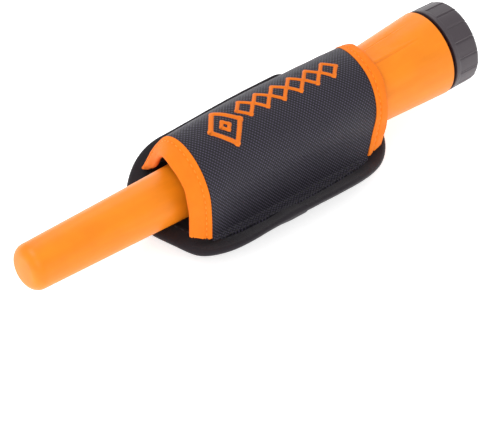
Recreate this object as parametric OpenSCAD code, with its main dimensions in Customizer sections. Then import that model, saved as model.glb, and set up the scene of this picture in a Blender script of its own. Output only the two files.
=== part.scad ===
// Pinpointer probe in its belt holster.
// X runs from the probe's tip to its battery cap, Z is up, and the belt loop lies on z = 0.
// Lengths inside the modules are measured from the tip and from the probe's underside.

/* [Probe] */
// Length from the tip to the end of the battery cap
probe_l = 240; // [238:0.5:242]
// Radius of the tip
tip_r = 10.7; // [10.5:0.1:11]
// Radius of the rounding round the tip's edge
tip_round = 6; // [4:0.5:8]
// Growth of the radius per millimetre along the front of the probe
front_slope = 0.0172; // [0.016:0.0002:0.019]
// Radius of the housing where it meets the battery cap
rear_r = 19.72; // [19.6:0.02:20]
// Where the straight front part ends and the flare begins
flare_start = 68; // [66:1:70]
// Where the flare ends and the straight rear part begins
flare_end = 162; // [160:1:164]
// Depth of the battery cap's grip, measured along the probe
cap_depth = 14; // [13.6:0.1:14.4]
// Width of the sealing gap between housing and cap
seal_gap = 1.7; // [1.6:0.05:1.8]

/* [Button] */
// Distance from the tip to the middle of the button
button_x = 168; // [167:0.5:169]
// Length of the button along the probe
button_l = 15; // [14:0.5:16]
// Width of the button
button_w = 7; // [6:0.5:7.5]
// How far the button is pressed in
button_travel = 0.8; // [0.5:0.1:1]
// Half width of the raised pad round the button
pad_half_w = 4.4; // [4.2:0.1:4.6]

/* [Battery cap] */
// Number of grip ribs round the cap
cap_ribs = 16; // [14:1:18]
// How far the grip ribs stand proud
rib_h = 0.25; // [0.2:0.05:0.5]
// How far the lanyard lug stands behind the cap
lug_out = 6.4; // [6:0.2:7]
// Thickness of the lanyard lug
lug_t = 4.5; // [4:0.5:5]
// Radius of the hole through the lanyard lug
lug_hole_r = 2; // [1.8:0.1:2.1]

/* [Holster] */
// Start of the back panel, measured from the tip
panel_start = 66; // [64:1:68]
// Length of the back panel
panel_l = 128; // [126:1:130]
// Width of the back panel over its binding
panel_w = 76; // [74:1:78]
// Corner radius of the back panel
panel_corner = 36; // [32:1:37]
// Length of the back panel's oval rear end
panel_oval = 46; // [42:1:48]
// Thickness of the foam inside the back panel
foam_t = 2.2; // [2:0.1:2.4]
// Thickness of one layer of cloth
cloth_t = 0.5; // [0.4:0.1:0.6]
// Width of the binding round the back panel
binding_w = 6; // [5:0.5:7]
// How far the long edges of the back panel curl up
cup_rise = 5; // [3:0.5:6]
// Start of the sleeve's cloth, measured from the tip
sleeve_start = 84; // [83:0.5:85]
// End of the sleeve's cloth, measured from the tip
sleeve_end = 184; // [183:0.5:185]
// Outer radius of the sleeve's arch at the tip side
arch_front_r = 24; // [23.6:0.1:24.4]
// Outer radius of the sleeve's arch at the rear
arch_rear_r = 20.6; // [20.5:0.1:20.8]
// Thickness of the sleeve's cloth
sleeve_t = 1.6; // [1.4:0.1:1.6]
// Width of the tape round each opening
tape_w = 8; // [7.5:0.5:8]
// Height of the room for the belt
belt_gap = 4.8; // [4.6:0.1:5.4]
// Width of the belt loop's webbing
loop_w = 38; // [36:1:42]
// Thickness of the belt loop's webbing
loop_t = 1.6; // [1.4:0.1:1.8]

/* [Hidden] */
$fn = 64;
eps = 0.01;

// Levels of the holster, from the surface it lies on up to the probe's underside
probe_clear = 1;
panel_t = foam_t + 2 * cloth_t;
base_z = loop_t + belt_gap + panel_t + probe_clear;
panel_top = -probe_clear;
panel_bottom = panel_top - panel_t;
tip_x = -(probe_l + lug_out) / 2;

// The probe's outline
joint_x = probe_l - cap_depth - seal_gap;
flare_l = flare_end - flare_start;
flare_r = tip_r + front_slope * flare_start;
rear_l = joint_x - flare_end;
rear_slope = (rear_r - flare_r - front_slope * flare_l / 2) / (flare_l / 2 + rear_l);
cap_axis = rear_r;

// Battery compartment: a nine-volt block, its pocket and the round mouth behind it
battery_size = [46.4, 26.5, 17.5];
battery_x = 188;
battery_z = 18;
pocket_start = 182;
pocket_gap = 0.35;
mouth_x = 213;
mouth_r = 17.6;
plug_r = mouth_r - 0.08;
plug_bore = 16.4;
plug_x = mouth_x + 1.5;
cap_r = rear_r - 0.3;
cap_x = joint_x + seal_gap;
cap_wall = 2.5;
collar_l = 2.2;

// Stepped chambers of the housing: start, end, radius and height of the axis
chambers = [
    [3, 72.5, 8.4, 11],
    [72, 110.5, 9.4, 11.9],
    [110, 148.5, 10.6, 13],
    [148, 158.5, 12.3, 14.6],
    [158, pocket_start + 0.5, 13.4, 15.6]
];

// Electronics
coil_z = 11;
board = [98, 15, 1.6];
board_x = 78;
board_z = 15;
tray_t = 1.4;
motor_x = 128;
motor_r = 3;
motor_z = board_z - tray_t - 1 - motor_r;
shaft_r = 0.5;
switch_h = 3.5;
light_x = 150;
wire_r = 0.6;

function body_r(x) =
    x < flare_start ? tip_r + front_slope * x :
    x < flare_end ? flare_r + front_slope * (x - flare_start)
        + (rear_slope - front_slope) * pow(x - flare_start, 2) / (2 * flare_l) :
    rear_r - rear_slope * (joint_x - x);

// Points of an arch standing on height foot: a half circle of radius r about height c
function arch(r, c, foot) = concat(
    [[r, foot]], [for (a = [0:7.5:180]) [r * cos(a), c + r * sin(a)]], [[-r, foot]]);

// Points of a rectangle l by w with corners rounded by r
function rounded(l, w, r) = [
    for (corner = [[1, 1, 0], [-1, 1, 90], [-1, -1, 180], [1, -1, 270]])
        for (a = [0:7.5:90])
            [corner[0] * (l / 2 - r) + r * cos(corner[2] + a),
             corner[1] * (w / 2 - r) + r * sin(corner[2] + a)]
];

// Points of an oval's outline between two angles
function oval(cx, cy, rx, ry, from, to) = [for (a = [from:7.5:to]) [cx + rx * cos(a), cy + ry * sin(a)]];

module from_tip() translate([tip_x, 0, base_z]) children();

// Extrudes a YZ outline from x0 to x1
module along_x(x0, x1) translate([x0, 0, 0]) rotate([90, 0, 90]) linear_extrude(x1 - x0) children();

module rod_x(x0, x1, r, z, y = 0) translate([x0, y, z]) rotate([0, 90, 0]) cylinder(h = x1 - x0, r = r);

module rod_z(x, y, z0, z1, r) translate([x, y, z0]) cylinder(h = z1 - z0, r = r);

// A box from x0 to x1 and z0 to z1, centred across the probe
module block(x0, x1, w, z0, z1, y = 0) translate([x0, y - w / 2, z0]) cube([x1 - x0, w, z1 - z0]);

// Spins an outline, drawn as distance from the axis against x, about the cap's axis
module spun(axis_z) translate([0, 0, axis_z]) rotate([0, 90, 0]) rotate_extrude() children();

// ---- Probe housing ----

module tip_dome() {
    translate([0, 0, tip_r]) rotate([0, 90, 0]) rotate_extrude($fn = 48)
        polygon(concat([[0, tip_round]], [[0, 0]],
            [for (a = [0:15:90]) [tip_r - tip_round + tip_round * sin(a), tip_round * (1 - cos(a))]]));
}

module body_slice(x) translate([x, 0, body_r(x)]) rotate([0, 90, 0])
    cylinder(h = eps, r = body_r(x), $fn = 48);

module body_outside() {
    stations = [flare_start, 100, 130, flare_end, joint_x - eps];
    hull() {
        tip_dome();
        body_slice(stations[0]);
    }
    for (i = [0:3]) hull() {
        body_slice(stations[i]);
        body_slice(stations[i + 1]);
    }
}

// Raised pad round the button, running back until the flaring body rises past it
module button_pad() {
    pad_front = 155;
    pad_front_z = 32;
    pad_back = 216;
    pad_back_z = 37.7;
    rotate([90, 0, 0]) linear_extrude(2 * pad_half_w, center = true)
        polygon([[pad_front, 20], [pad_back, 20], [pad_back, pad_back_z], [pad_front, pad_front_z]]);
}

module probe_housing() color("darkorange") from_tip() difference() {
    union() {
        body_outside();
        button_pad();
    }
    for (c = chambers) rod_x(c[0], c[1], c[2], c[3]);
    translate([0, 0, battery_z]) along_x(pocket_start, mouth_x + 0.5)
        polygon(rounded(battery_size[1] + 2 * pocket_gap, battery_size[2] + 2 * pocket_gap, 2.5));
    rod_x(mouth_x, joint_x + 1, mouth_r, cap_axis);
    button_hole(button_l + 0.6, button_w + 0.6, 25, 40);
    rod_z(light_x, 0, 24, 40, 1.6);
}

module button_hole(l, w, z0, z1) translate([button_x, 0, z0]) linear_extrude(z1 - z0)
    polygon(rounded(l, w, w / 2 - eps));

// ---- Search coil ----

module coil_former() color("gainsboro") from_tip() difference() {
    union() {
        rod_x(8, 68, 5, coil_z);
        for (x = [8, 14, 50, 66]) rod_x(x, x + 2, 8.1, coil_z);
    }
    rod_x(7, 69, 4.05, coil_z);
}

module ferrite_rod() color("dimgray") from_tip() rod_x(9, 67, 4, coil_z);

module search_coil() color("peru") from_tip() difference() {
    rod_x(16.1, 49.9, 7, coil_z);
    rod_x(16, 50, 5.02, coil_z);
}

module coil_leads() color("firebrick") from_tip() for (y = [-3, 3]) {
    rod_x(52.2, 65.8, 0.4, coil_z + 5.6, y);
    rod_x(68.2, 77.8, 0.4, coil_z + 5.6, y);
}

// ---- Electronics ----

module board_tray() color("whitesmoke") from_tip() difference() {
    block(board_x, board_x + board[0], board[1] + 1.6, board_z - tray_t, board_z + board[2] - 0.6);
    block(board_x - 1, board_x + board[0] + 1, board[1] + 0.1, board_z, board_z + 3);
    for (x = screw_places()) rod_z(x, 0, 0, 30, 0.8);
}

function screw_places() = [board_x + 5, board_x + board[0] - 3];

module circuit_board() color("seagreen") from_tip() difference() {
    block(board_x + 0.05, board_x + board[0] - 0.05, board[1], board_z, board_z + board[2]);
    for (x = screw_places()) rod_z(x, 0, 0, 30, 1.1);
}

module board_screws() color("silver") from_tip() for (x = screw_places()) difference() {
    union() {
        rod_z(x, 0, board_z - tray_t, board_z + board[2], 0.8);
        rod_z(x, 0, board_z + board[2], board_z + board[2] + 1.1, 1.7);
    }
    block(x - 1.3, x + 1.3, 0.4, board_z + board[2] + 0.6, board_z + board[2] + 2);
}

module control_chip() color("black") from_tip() {
    top = board_z + board[2];
    block(96, 106, 4, top + 0.15, top + 1.6);
    for (x = [96.7:1.27:105.8], side = [-1, 1]) {
        block(x - 0.2, x + 0.2, 1, top, top + 0.4, side * 2.4);
    }
}

module driver_transistor() color("black") from_tip() {
    top = board_z + board[2];
    block(86.5, 92.5, 6.4, top, top + 2.2);
    block(92.4, 94.2, 5.2, top, top + 0.5);
}

module storage_capacitors() color("steelblue") from_tip() for (x = [115, 123, 131]) {
    rod_z(x, 0, board_z + board[2], board_z + board[2] + 5.6, 3.1);
    block(x - 3.3, x + 3.3, 6.6, board_z + board[2], board_z + board[2] + 0.8);
}

module sounder() color("black") from_tip() difference() {
    rod_z(141, 0, board_z + board[2], board_z + board[2] + 4.5, 4.8);
    rod_z(141, 0, board_z + board[2] + 3, 40, 1);
}

module motor_bracket() color("silver") from_tip() difference() {
    block(motor_x + 1, motor_x + 9, 7.4, motor_z - 1, board_z - tray_t);
    rod_x(motor_x, motor_x + 12, motor_r, motor_z);
}

module vibration_motor() color("silver") from_tip() difference() {
    rod_x(motor_x, motor_x + 11, motor_r, motor_z);
    rod_x(motor_x + 6, motor_x + 12, shaft_r + 0.05, motor_z);
}

// Half-round eccentric weight, hanging below its shaft
module motor_weight() color("gray") from_tip() {
    rod_x(motor_x + 6.2, motor_x + 11.6, shaft_r, motor_z);
    difference() {
        rod_x(motor_x + 11.6, motor_x + 15.6, 2.7, motor_z);
        block(motor_x + 11, motor_x + 16, 8, motor_z + 0.8, motor_z + 5);
    }
}

module tact_switch() color("black") from_tip() difference() {
    block(button_x - 3, button_x + 3, 6, board_z + board[2], board_z + board[2] + switch_h);
    rod_z(button_x, 0, board_z + board[2] + 1.2, 30, 1.8);
}

plunger_foot = board_z + board[2] + 1.2 + button_travel + 0.3;
button_flange_z = 26;
button_top = 34.6;

module switch_plunger() color("saddlebrown") from_tip()
    rod_z(button_x, 0, plunger_foot, button_flange_z, 1.72);

// Rubber button with the lip that holds it under the housing's wall
module push_button() color("dimgray") from_tip() {
    button_hole(button_l, button_w, button_flange_z, button_top - 0.8);
    button_hole(button_l - 1.4, button_w - 1.4, button_flange_z, button_top);
    button_hole(button_l + 2.4, button_w + 2, button_flange_z, button_flange_z + 1);
}

module status_light() color("palegreen") from_tip() rod_z(light_x, 0, board_z + board[2], 24, 1.5);

module light_pipe() color("white") from_tip() rod_z(light_x, 0, 24.1, 2 * body_r(light_x) - 0.1, 1.6);

// ---- Battery ----

module bulkhead() color("whitesmoke") from_tip() difference() {
    rod_x(178, 180, 13.35, 15.6);
    for (y = [-3, 3]) rod_x(177, 181, wire_r + 0.1, 19, y);
    for (z = [0, 27]) block(177, 181, 30, z, z + 4.2);
}

module battery_leads() color("firebrick") from_tip() for (y = [-3, 3])
    rod_x(176.6, 182.3, wire_r, 19, y);

module battery_snap() color("black") from_tip() difference() {
    block(182.4, 185.4, 25.6, battery_z - 6, battery_z + 6);
    for (y = [-6.35, 6.35]) rod_x(183.6, 186, 4.2, battery_z, y);
}

module battery_terminals() color("silver") from_tip() {
    rod_x(184.2, battery_x, 2.9, battery_z, -6.35);
    difference() {
        rod_x(184.2, battery_x, 4, battery_z, 6.35);
        rod_x(183, battery_x - 1, 2.9, battery_z, 6.35);
    }
}

module battery() color("goldenrod") from_tip() translate([0, 0, battery_z])
    along_x(battery_x, battery_x + battery_size[0]) polygon(rounded(battery_size[1], battery_size[2], 2));

// ---- Battery cap ----

module cap_o_ring() color("black") from_tip() difference() {
    rod_x(joint_x + 0.02, cap_x - 0.02, rear_r - 1.2, cap_axis);
    rod_x(joint_x - 1, cap_x + 1, plug_r + 0.06, cap_axis);
}

// Outline of the grip: a round cap with low, thin ribs along it
module grip_outline() {
    wall_r = cap_r - rib_h;
    sides = 3 * cap_ribs;
    rib_w = 0.9;
    rib_root = 10;
    polygon([for (i = [0:sides - 1]) [wall_r * cos(i * 360 / sides), wall_r * sin(i * 360 / sides)]]);
    for (i = [0:cap_ribs - 1]) rotate(i * 360 / cap_ribs) translate([rib_root, -rib_w / 2])
        square([cap_r - rib_root, rib_w]);
}

// Rear part of the cap: it narrows a little and its end is rounded
module cap_envelope() {
    end_r = cap_r - 0.3;
    edge = 2.2;
    spun(cap_axis) polygon(concat(
        [[0, cap_x], [cap_r, cap_x], [cap_r, cap_x + collar_l]],
        [for (a = [0:15:90]) [end_r - edge + edge * cos(a), probe_l - edge + edge * sin(a)]],
        [[0, probe_l]]));
}

lug_round = 4.4;
lug_flat = 5;

// Lug on the end wall with two rounded corners and a hole for the lanyard
module lanyard_lug() difference() {
    half_h = lug_flat + lug_round;
    union() {
        block(probe_l - 1, probe_l + lug_out - lug_round, lug_t, cap_axis - half_h, cap_axis + half_h);
        block(probe_l - 1, probe_l + lug_out, lug_t, cap_axis - lug_flat, cap_axis + lug_flat);
        for (z = [-lug_flat, lug_flat])
            translate([probe_l + lug_out - lug_round, lug_t / 2, cap_axis + z])
                rotate([90, 0, 0]) cylinder(h = lug_t, r = lug_round);
    }
    translate([probe_l + lug_hole_x(), lug_t, cap_axis]) rotate([90, 0, 0])
        cylinder(h = 2 * lug_t, r = lug_hole_r);
}

function lug_hole_x() = lug_out - 1.8 - lug_hole_r;

// The cap's grip, filled, from its front edge to its end face
module cap_grip() intersection() {
    cap_envelope();
    union() {
        translate([0, 0, cap_axis]) along_x(cap_x + collar_l, probe_l + 1) grip_outline();
        rod_x(cap_x, cap_x + collar_l, cap_r, cap_axis);
    }
}

module battery_cap() color("dimgray") from_tip() difference() {
    union() {
        cap_grip();
        rod_x(plug_x, cap_x + 1, plug_r - 0.5, cap_axis);
        for (x = [plug_x + 0.4:2.4:joint_x - 1.4]) rod_x(x, x + 1.2, plug_r, cap_axis);
        rod_x(joint_x - 1, cap_x + 1, plug_r, cap_axis);
    }
    rod_x(plug_x - 1, probe_l + 1, plug_bore, cap_axis);
    rod_x(probe_l - cap_wall, probe_l + 1, cap_r + 1, cap_axis);
}

// The wall that closes the cap, with the lug for the lanyard on it
module cap_end() color("dimgray") from_tip() {
    intersection() {
        cap_grip();
        rod_x(probe_l - cap_wall, probe_l + 1, cap_r + 1, cap_axis);
    }
    lanyard_lug();
}

module cap_foam_pad() color("dimgray") from_tip()
    rod_x(battery_x + battery_size[0] + 0.05, probe_l - cap_wall, 14, cap_axis);

// ---- Holster ----

// A thin slab of the arch at x, hulled in pairs to make the sleeve and its tapes
module arch_slab(x, r, c, foot) along_x(x, x + eps) polygon(arch(r, c, foot));

module arch_solid(x0, r0, c0, x1, r1, c1, foot) hull() {
    arch_slab(x0, r0, c0, foot);
    arch_slab(x1 - eps, r1, c1, foot);
}

// A walled arch: the solid between two arches that differ by the wall's thickness
module arch_wall(x0, r0, c0, x1, r1, c1, wall, foot) difference() {
    arch_solid(x0, r0, c0, x1, r1, c1, foot);
    arch_solid(x0 - 1, r0 - wall, c0, x1 + 1, r1 - wall, c1, foot - 1);
}

arch_front_c = 16.8;
arch_rear_c = 17.5;
cup_start = 25;
cup_side = panel_w / 2 - cup_start;
cup_places = concat(
    [for (i = [6:-1:0]) -cup_start - i * cup_side / 6],
    [for (i = [0:6]) cup_start + i * cup_side / 6]);

module holster_sleeve() color("#3a3a42") from_tip() difference() {
    union() {
        arch_solid(sleeve_start, arch_front_r, arch_front_c, sleeve_end, arch_rear_r, arch_rear_c, panel_top);
        intersection() {
            block(sleeve_start, sleeve_end, panel_w, panel_bottom, panel_top + cup_rise + 5);
            panel_layer(binding_w, panel_top, panel_top + sleeve_t);
        }
    }
    arch_solid(sleeve_start - 1, arch_front_r - sleeve_t, arch_front_c,
        sleeve_end + 1, arch_rear_r - sleeve_t, arch_rear_c, panel_top - 1);
    binding_zone();
}

// Tape round the wide opening, drawn in a little towards the tip
module tip_tape() color("orange") from_tip()
    arch_wall(sleeve_start - tape_w, 20.4, 16.6, sleeve_start - eps, arch_front_r + 0.4, arch_front_c,
        2.2, panel_top + cloth_t);

module rear_tape() color("orange") from_tip()
    arch_wall(sleeve_end + eps, arch_rear_r + 0.2, arch_rear_c,
        sleeve_end + tape_w, arch_rear_r, arch_rear_c, sleeve_t, panel_top + cloth_t);

// Height that the back panel's curl adds at y
function cup(y) = cup_rise * pow(max(0, (abs(y) - cup_start) / (panel_w / 2 - cup_start)), 2);

// A curled sheet from z0 to z1 as long as the back panel
module cupped(z0, z1) along_x(panel_start, panel_start + panel_l) polygon(concat(
    [for (y = cup_places) [y, z0 + cup(y)]],
    [for (y = cup_places) [-y, z1 + cup(y)]]));

// The back panel's outline, drawn in by inset
module panel_outline(inset) translate([0, 0, -20]) linear_extrude(40) {
    front_x = panel_start + panel_corner;
    front_y = panel_w / 2 - panel_corner;
    r = panel_corner - inset;
    polygon(concat(
        oval(panel_start + panel_l - panel_oval, 0, panel_oval - inset, panel_w / 2 - inset, -90, 90),
        oval(front_x, front_y, r, r, 90, 180),
        oval(front_x, -front_y, r, r, 180, 270)));
}

module panel_layer(inset, z0, z1) intersection() {
    cupped(z0, z1);
    panel_outline(inset);
}

module panel_lining() color("#2c2a30") from_tip() panel_layer(1, panel_top - cloth_t, panel_top);

module panel_foam() color("#55545c") from_tip()
    panel_layer(1, panel_bottom + cloth_t, panel_top - cloth_t);

module panel_backing() color("#2c2a30") from_tip() panel_layer(1, panel_bottom, panel_bottom + cloth_t);

// The space that the binding and the panel's edge inside it take up
module binding_zone() difference() {
    panel_layer(0, panel_bottom - cloth_t, panel_top + cloth_t);
    panel_outline(binding_w);
}

module edge_binding() color("#2a282c") from_tip() difference() {
    binding_zone();
    panel_layer(1, panel_bottom, panel_top);
}

// Webbing sewn down at both ends, standing off the panel to leave room for a belt
loop_start = 100;
loop_end = 184;
tab_l = 10;
ramp_l = 5;

module loop_strip() rotate([90, 0, 0]) linear_extrude(loop_w, center = true) {
    top = panel_bottom;
    bottom = top - belt_gap;
    polygon([
        [loop_start, top], [loop_start + tab_l + 1, top],
        [loop_start + tab_l + ramp_l + 1, bottom], [loop_end - tab_l - ramp_l - 1, bottom],
        [loop_end - tab_l - 1, top], [loop_end, top],
        [loop_end, top - loop_t], [loop_end - tab_l, top - loop_t],
        [loop_end - tab_l - ramp_l, bottom - loop_t], [loop_start + tab_l + ramp_l, bottom - loop_t],
        [loop_start + tab_l, top - loop_t], [loop_start, top - loop_t]
    ]);
}

module belt_loop() color("#1f1f23") from_tip() difference() {
    loop_strip();
    binding_zone();
}

probe_housing();
coil_former();
ferrite_rod();
search_coil();
coil_leads();
board_tray();
circuit_board();
board_screws();
control_chip();
driver_transistor();
storage_capacitors();
sounder();
motor_bracket();
vibration_motor();
motor_weight();
tact_switch();
switch_plunger();
push_button();
status_light();
light_pipe();
bulkhead();
battery_leads();
battery_snap();
battery_terminals();
battery();
cap_o_ring();
battery_cap();
cap_end();
cap_foam_pad();
holster_sleeve();
tip_tape();
rear_tape();
panel_lining();
panel_foam();
panel_backing();
edge_binding();
belt_loop();
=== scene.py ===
"""Looks of a pinpointer probe in its belt holster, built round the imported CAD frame.

Places are given in millimetres from the probe's tip and its underside, as the CAD source gives them,
and at() turns them into the frame's metres.
"""

import random
from math import atan2, copysign, cos, degrees, dist, exp, hypot, pi, radians, sin, sqrt

import bmesh
import bpy
import numpy as np
from mathutils import Matrix, Vector, noise
from numpy.linalg import norm


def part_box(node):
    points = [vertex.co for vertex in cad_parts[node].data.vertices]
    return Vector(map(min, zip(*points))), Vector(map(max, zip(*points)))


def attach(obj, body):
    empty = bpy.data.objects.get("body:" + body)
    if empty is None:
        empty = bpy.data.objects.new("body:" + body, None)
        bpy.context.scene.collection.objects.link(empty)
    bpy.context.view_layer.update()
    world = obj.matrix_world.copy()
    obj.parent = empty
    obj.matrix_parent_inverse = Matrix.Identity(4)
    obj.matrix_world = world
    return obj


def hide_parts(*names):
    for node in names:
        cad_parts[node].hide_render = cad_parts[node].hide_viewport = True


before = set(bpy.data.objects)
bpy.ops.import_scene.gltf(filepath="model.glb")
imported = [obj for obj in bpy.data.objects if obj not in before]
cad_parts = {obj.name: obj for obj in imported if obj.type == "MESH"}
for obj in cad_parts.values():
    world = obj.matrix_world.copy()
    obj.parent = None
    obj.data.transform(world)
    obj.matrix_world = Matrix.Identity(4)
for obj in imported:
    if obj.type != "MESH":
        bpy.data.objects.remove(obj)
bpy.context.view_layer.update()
random.seed(7)

MM = 0.001
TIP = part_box("probe_housing")[0]

# The probe's outline, as in the CAD source but for a tighter tip
TIP_R = 10.7
TIP_ROUND = 5.2
FRONT_SLOPE = 0.0172
FLARE_START, FLARE_END = 68.0, 162.0
JOINT_X = (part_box("probe_housing")[1].x - TIP.x) / MM
REAR_R = (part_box("probe_housing")[1].z - TIP.z) / MM / 2
FLARE_R = TIP_R + FRONT_SLOPE * FLARE_START
FLARE_L = FLARE_END - FLARE_START
REAR_SLOPE = (REAR_R - FLARE_R - FRONT_SLOPE * FLARE_L / 2) / (FLARE_L / 2 + JOINT_X - FLARE_END)
CAP_X = (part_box("cap_o_ring")[1].x - TIP.x) / MM
CAP_FLOOR = 2.5
CAP_END = (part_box("cap_foam_pad")[1].x - TIP.x) / MM + CAP_FLOOR
LUG_END = (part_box("cap_end")[1].x - TIP.x) / MM

# The back panel, as in the CAD source but shorter in front, with a lopsided oval end and uneven edges
LAYER_T, PANEL_SHORT = 0.5, 1.5
PANEL_BOTTOM = (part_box("edge_binding")[0].z - TIP.z) / MM + LAYER_T
PANEL_TOP = (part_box("panel_lining")[0].z - TIP.z) / MM + LAYER_T
PANEL_START = (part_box("edge_binding")[0].x - TIP.x) / MM + PANEL_SHORT
PANEL_END = (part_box("edge_binding")[1].x - TIP.x) / MM
PANEL_HALF_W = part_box("edge_binding")[1].y / MM
PANEL_CORNER, PANEL_OVAL, FAR_OVAL = 36.0, 49.0, 26.0
CUP_START, CUP_RISE, CUP_POWER = 23.0, 5.0, 1.6
NEAR_LIFT, NEAR_DROP, NEAR_PULL, NEAR_SKEW = 4.8, 2.2, 0.050, 0.19
FAR_LIFT, FAR_FRONT_LIFT = 3.4, 1.6
BOW_START, BOW_LENGTH, BOW_POWER = 56, 158, 0.6


def body_r(x):
    """Radius of the probe at x; its sections are circles that all touch the underside."""
    if x < FLARE_START:
        return TIP_R + FRONT_SLOPE * x
    if x < FLARE_END:
        t = x - FLARE_START
        return FLARE_R + FRONT_SLOPE * t + (REAR_SLOPE - FRONT_SLOPE) * t * t / (2 * FLARE_L)
    return REAR_R - REAR_SLOPE * (JOINT_X - x)


def ramp(value, low, high):
    """Goes smoothly from 0 at low to 1 at high."""
    t = min(1.0, max(0.0, (value - low) / (high - low)))
    return t * t * (3 - 2 * t)


def bow(x):
    """How far along its bow the near edge of the back panel is at x, from 0 at its ends to 1."""
    share = min(1.0, max(0.0, (x - BOW_START) / BOW_LENGTH))
    return max(0.0, sin(pi * share)) ** BOW_POWER


def cup(x, y):
    """How far the back panel's long edges have curled up, pulled by the sleeve."""
    if y > 0:
        lift = FAR_LIFT * ramp(x, 90, 155) * (1 - ramp(x, 176, 200))
        rise = CUP_RISE + FAR_FRONT_LIFT * ramp(x, 66, 90) + lift
    else:
        rise = CUP_RISE + NEAR_LIFT * bow(x) - NEAR_DROP * (1 - ramp(x, 78, 112))
    return rise * (max(0.0, abs(y) - CUP_START) / (PANEL_HALF_W - CUP_START)) ** CUP_POWER


def at(x, y, z):
    """Place in the frame's metres."""
    return Vector((TIP.x + x * MM, y * MM, TIP.z + z * MM))


# ---- materials


class Look:
    """A node material under construction: a Principled shader and helpers that feed it."""

    def __init__(self, name, color, roughness, **sockets):
        self.material = bpy.data.materials.new(name)
        self.material.use_nodes = True
        self.tree = self.material.node_tree
        self.shader = self.tree.nodes["Principled BSDF"]
        self.set("Base Color", (*color, 1))
        self.set("Roughness", roughness)
        for socket, value in sockets.items():
            self.set(socket.replace("_", " "), value)
        self.height = None

    def set(self, socket, value):
        self.shader.inputs[socket].default_value = value

    def node(self, kind, inputs=(), **settings):
        made = self.tree.nodes.new(kind)
        for key, value in settings.items():
            setattr(made, key, value)
        for socket, value in dict(inputs).items():
            if isinstance(value, bpy.types.NodeSocket):
                self.tree.links.new(value, made.inputs[socket])
            else:
                made.inputs[socket].default_value = value
        return made

    def math(self, operation, a, b=0.0):
        return self.node("ShaderNodeMath", {0: a, 1: b}, operation=operation).outputs[0]

    def wave(self, value, rate, kind="SINE"):
        return self.math(kind, self.math("MULTIPLY", value, rate))

    def place(self):
        return self.node("ShaderNodeTexCoord").outputs["Object"]

    def noise(self, size_mm, detail=3.0, source=None):
        """Noise from 0 to 1 with features about size_mm across."""
        source = source or self.place()
        sockets = {"Vector": source, "Scale": 1 / (size_mm * MM), "Detail": detail}
        return self.node("ShaderNodeTexNoise", sockets).outputs["Fac"]

    def span(self, value, low, high, to_low, to_high):
        sockets = {"Value": value, "From Min": low, "From Max": high}
        sockets.update({"To Min": to_low, "To Max": to_high})
        return self.node("ShaderNodeMapRange", sockets).outputs["Result"]

    def mix(self, fac, a, b):
        a, b = ((*c, 1) if isinstance(c, tuple) else c for c in (a, b))
        return self.node("ShaderNodeMix", {0: fac, 6: a, 7: b}, data_type="RGBA").outputs[2]

    def color(self, output):
        self.tree.links.new(output, self.shader.inputs["Base Color"])

    def rough(self, output):
        self.tree.links.new(output, self.shader.inputs["Roughness"])

    def bump(self, height, depth_mm, strength=1.0):
        """Adds a relief of depth_mm where height goes from 0 to 1."""
        sockets = {"Height": height, "Distance": depth_mm * MM, "Strength": strength}
        if self.height is not None:
            sockets["Normal"] = self.height
        self.height = self.node("ShaderNodeBump", sockets).outputs["Normal"]
        self.tree.links.new(self.height, self.shader.inputs["Normal"])


def shades(color, dark, light):
    """The colour times each of two factors."""
    return tuple(c * dark for c in color), tuple(min(1, c * light) for c in color)


def moulded(name, color, roughness, grain_mm=0.25, grain_depth=0.012, tint=0.06, streak=0.0, **sockets):
    """Finely grained plastic or rubber. Its colour varies a little, by streak in lines along X."""
    look = Look(name, color, roughness, **sockets)
    broad = look.noise(9)
    if streak:
        drawn = look.node("ShaderNodeMapping", {"Vector": look.place(), "Scale": (0.12, 1, 1)})
        lines = look.math("MULTIPLY", look.noise(5, 3, drawn.outputs["Vector"]), streak)
        broad = look.math("ADD", look.math("MULTIPLY", broad, 1 - streak), lines)
    look.color(look.mix(broad, *shades(color, 1 - tint, 1 + tint)))
    fine = look.noise(grain_mm, 2)
    look.rough(look.span(fine, 0.3, 0.7, roughness - 0.05, roughness + 0.05))
    look.bump(fine, grain_depth)
    return look.material


def metal(name, color, roughness):
    look = Look(name, color, roughness, Metallic=1.0)
    streak = look.noise(0.8, 4)
    look.rough(look.span(streak, 0.3, 0.7, roughness - 0.08, roughness + 0.1))
    look.bump(streak, 0.004)
    return look.material


def cloth_place(look):
    """Distance across and along the cloth in metres, stored on the mesh."""
    made = look.node("ShaderNodeAttribute", attribute_name="cloth")
    split = look.node("ShaderNodeSeparateXYZ", {0: made.outputs["Vector"]})
    return split.outputs[0], split.outputs[1]


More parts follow.
